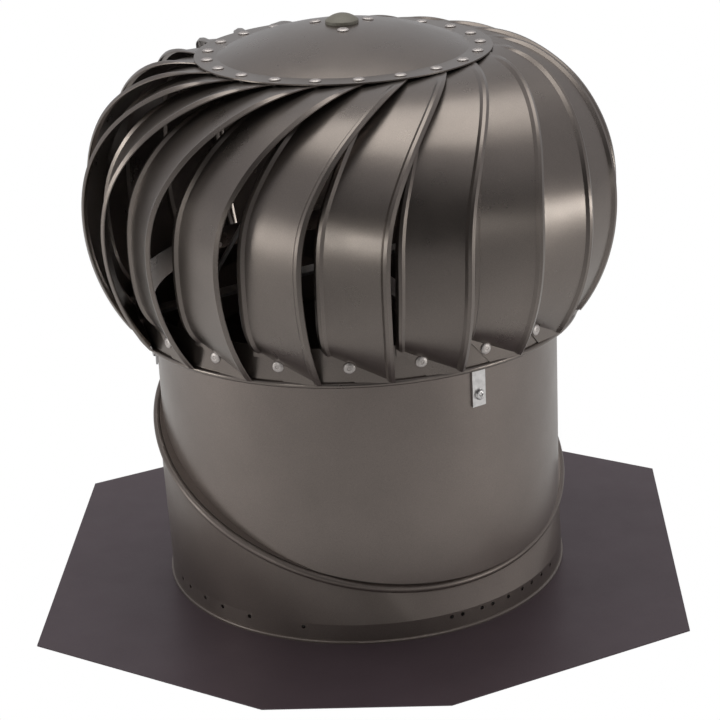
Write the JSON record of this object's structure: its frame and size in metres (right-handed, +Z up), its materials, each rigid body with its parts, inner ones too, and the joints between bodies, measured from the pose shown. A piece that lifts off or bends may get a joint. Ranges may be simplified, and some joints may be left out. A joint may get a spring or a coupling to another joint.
{
  "type": "roof turbine ventilator",
  "caption": "Wind-driven turbine ventilator head on a stack with a slanted variable-pitch neck and a flat roof flashing, drawing air out of a loft.",
  "frame": {"origin": "centre of the flashing's underside", "axes": "+Z up along the turbine's shaft, +Y to the back, away from the viewer; the flashing's sides lie along X and Y"},
  "size_m": [0.484, 0.494, 0.4372],
  "materials": {
    "bronze_vane": "satin weathered bronze paint, pressed aluminium sheet",
    "bronze_collar": "satin weathered bronze paint",
    "bronze_flashing": "satin bronze paint, darker",
    "bare_rivet": "bright, domed",
    "zinc_steel": "zinc plated",
    "bearing_steel": "ground",
    "housing_aluminium": "die cast"
  },
  "bodies": {
    "base": {"flashing": "bronze_flashing", "neck": "bronze_collar"},
    "stack_body": {"stack": "bronze_collar", "mounting_clip_1": "zinc_steel", "mounting_clip_2": "zinc_steel", "mounting_clip_3": "zinc_steel", "brace_arm_1": "zinc_steel", "brace_arm_2": "zinc_steel", "brace_arm_3": "zinc_steel", "brace_strut_1": "zinc_steel", "brace_strut_2": "zinc_steel", "brace_strut_3": "zinc_steel", "clip_screws": "zinc_steel", "brace_bolts": "zinc_steel", "brace_nuts": "zinc_steel", "upper_bearing_housing": "housing_aluminium", "lower_bearing_housing": "housing_aluminium", "upper_bearing_outer_race": "bearing_steel", "lower_bearing_outer_race": "bearing_steel"},
    "turbine_head": {"throat_ring": "bronze_vane", "vane_01": "bronze_vane", "vane_02": "bronze_vane", "vane_03": "bronze_vane", "vane_04": "bronze_vane", "vane_05": "bronze_vane", "vane_06": "bronze_vane", "vane_07": "bronze_vane", "vane_08": "bronze_vane", "vane_09": "bronze_vane", "vane_10": "bronze_vane", "vane_11": "bronze_vane", "vane_12": "bronze_vane", "vane_13": "bronze_vane", "vane_14": "bronze_vane", "vane_15": "bronze_vane", "vane_16": "bronze_vane", "vane_17": "bronze_vane", "vane_18": "bronze_vane", "vane_19": "bronze_vane", "vane_20": "bronze_vane", "vane_21": "bronze_vane", "dome": "bronze_vane", "hub_plate": "housing_aluminium", "hub_cap": "bronze_vane", "shaft": "bearing_steel", "shaft_washer": "zinc_steel", "shaft_nut": "zinc_steel", "upper_shaft_collar": "zinc_steel", "lower_shaft_collar": "zinc_steel", "collar_set_screws": "zinc_steel", "upper_bearing_inner_race": "bearing_steel", "lower_bearing_inner_race": "bearing_steel", "dome_rivets": "bare_rivet", "ring_rivets": "bare_rivet", "hub_rivets": "bare_rivet"}
  },
  "joints": [
    {"name": "pitch_joint", "type": "hinge", "parent": "base", "child": "stack_body", "pos_m": [0, 0, 0.103], "axis": [0.2496, -0.341, 0.9063], "range_deg": [-180, 180]},
    {"name": "head_spin", "type": "hinge", "parent": "stack_body", "child": "turbine_head", "pos_m": [0, 0, 0.3], "axis": [0, 0, 1], "continuous": true}
  ]
}
